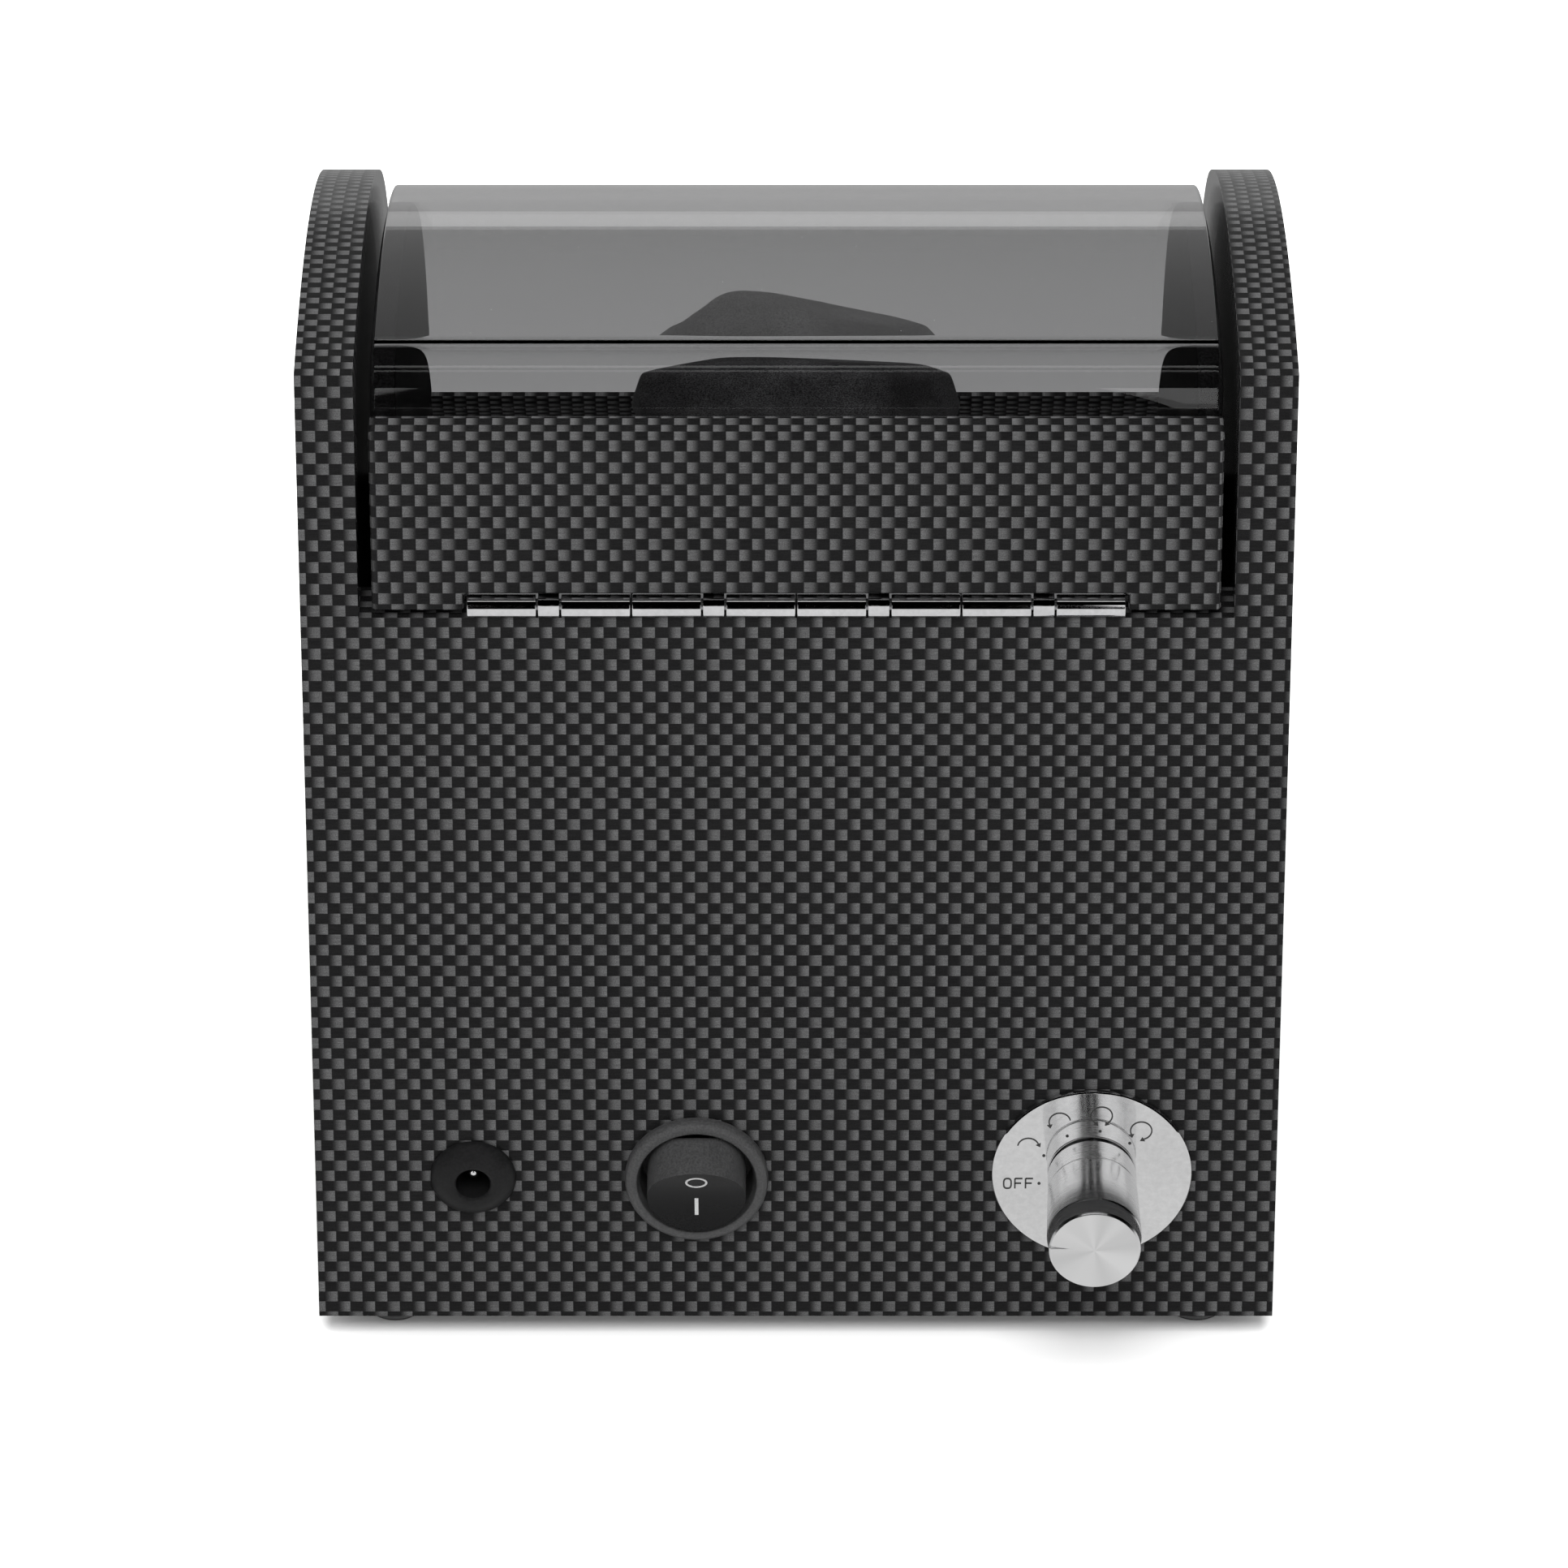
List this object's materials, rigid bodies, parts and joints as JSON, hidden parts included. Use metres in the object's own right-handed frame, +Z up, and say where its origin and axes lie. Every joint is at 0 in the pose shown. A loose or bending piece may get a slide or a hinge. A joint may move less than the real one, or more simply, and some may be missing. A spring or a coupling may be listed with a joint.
{
  "type": "watch winder box",
  "caption": "Black carbon-weave watch winder box with a curved clear hinged lid, a tilted motor-driven turntable with a watch pillow, and rear power jack, rocker switch and selector knob.",
  "frame": {"origin": "centre of the bounding box on the plane of the feet's undersides", "axes": "+Z up; the curved window faces -Y and the controls and hinges face +Y; +X is to the right when the window is faced"},
  "size_m": [0.154, 0.1982, 0.1821],
  "materials": {
    "carbon_film": "fibreboard wrapped in a printed carbon-weave film under clear lacquer, glossy",
    "base_film": "plain black film, satin",
    "velvet_board": "fibreboard covered in black flocked velvet, matt",
    "pillow_velvet": "black velvet over foam, matt",
    "acrylic": "lightly smoked clear acrylic sheet, polished",
    "rubber": "matt",
    "black_plastic": "fine matt moulding",
    "gloss_plastic": "satin gloss moulding",
    "chrome": "bright plated",
    "polished_aluminium": "mirror turned, spun end face",
    "steel": "plain",
    "brass": "machined",
    "nylon": "natural nylon",
    "circuit_board": "green solder mask",
    "lead_insulation": "black insulated wire"
  },
  "bodies": {
    "cabinet": {"left_side_panel": "carbon_film", "right_side_panel": "carbon_film", "rear_panel": "carbon_film", "front_panel": "carbon_film", "base_panel": "base_film", "left_lining": "velvet_board", "right_lining": "velvet_board", "deck": "velvet_board", "foot_front_left": "rubber", "foot_front_right": "rubber", "foot_rear_left": "rubber", "foot_rear_right": "rubber", "dc_jack_body": "black_plastic", "switch_housing": "black_plastic", "hinge_1_cabinet_leaf": "chrome", "hinge_2_cabinet_leaf": "chrome", "hinge_3_cabinet_leaf": "chrome", "hinge_4_cabinet_leaf": "chrome", "dc_jack_pin": "chrome", "selector_plate": "polished_aluminium", "hinge_1_pin": "steel", "hinge_2_pin": "steel", "hinge_3_pin": "steel", "hinge_4_pin": "steel", "strike_disc_left": "steel", "strike_disc_right": "steel", "dc_jack_nut": "steel", "selector_nut": "steel", "selector_body": "steel", "drive_bracket": "steel", "gear_motor": "steel", "spindle_bush": "brass", "control_board": "circuit_board", "jack_lead": "lead_insulation", "switch_lead": "lead_insulation", "selector_lead": "lead_insulation", "motor_lead": "lead_insulation"},
    "lid": {"lid_rear_rail": "carbon_film", "lid_front_rail": "carbon_film", "lid_left_cheek": "velvet_board", "lid_right_cheek": "velvet_board", "window": "acrylic", "magnet_left": "steel", "magnet_right": "steel", "hinge_1_lid_leaf": "chrome", "hinge_2_lid_leaf": "chrome", "hinge_3_lid_leaf": "chrome", "hinge_4_lid_leaf": "chrome"},
    "turntable": {"turntable_cup": "gloss_plastic", "spindle": "steel", "driven_gear": "nylon", "spindle_clip": "steel", "watch_pillow": "pillow_velvet"},
    "pinion": {"drive_pinion": "brass"},
    "rocker": {"switch_rocker": "gloss_plastic"},
    "selector": {"selector_shaft": "brass", "selector_knob": "polished_aluminium", "knob_set_screw": "steel"}
  },
  "joints": [
    {"name": "lid_hinge", "type": "hinge", "parent": "cabinet", "child": "lid", "pos_m": [0, 0.07675, 0.1404], "axis": [-1, 0, 0], "range_deg": [0, 95]},
    {"name": "turntable_spin", "type": "hinge", "parent": "cabinet", "child": "turntable", "pos_m": [0, -0.01105, 0.08773], "axis": [0, -0.4226, 0.9063], "continuous": true},
    {"name": "pinion_spin", "type": "hinge", "parent": "cabinet", "child": "pinion", "pos_m": [0.03, -0.01105, 0.08773], "axis": [0, -0.4226, 0.9063], "continuous": true},
    {"name": "rocker_tilt", "type": "hinge", "parent": "cabinet", "child": "rocker", "pos_m": [0.0159, 0.07995, 0.0327], "axis": [1, 0, 0], "range_deg": [0, 40]},
    {"name": "selector_turn", "type": "hinge", "parent": "cabinet", "child": "selector", "pos_m": [-0.0474, 0.07695, 0.03356], "axis": [0, -1, 0], "range_deg": [0, 144]}
  ],
  "couplings": [
    {"joint": "pinion_spin", "follows": "turntable_spin", "ratio": -4}
  ]
}
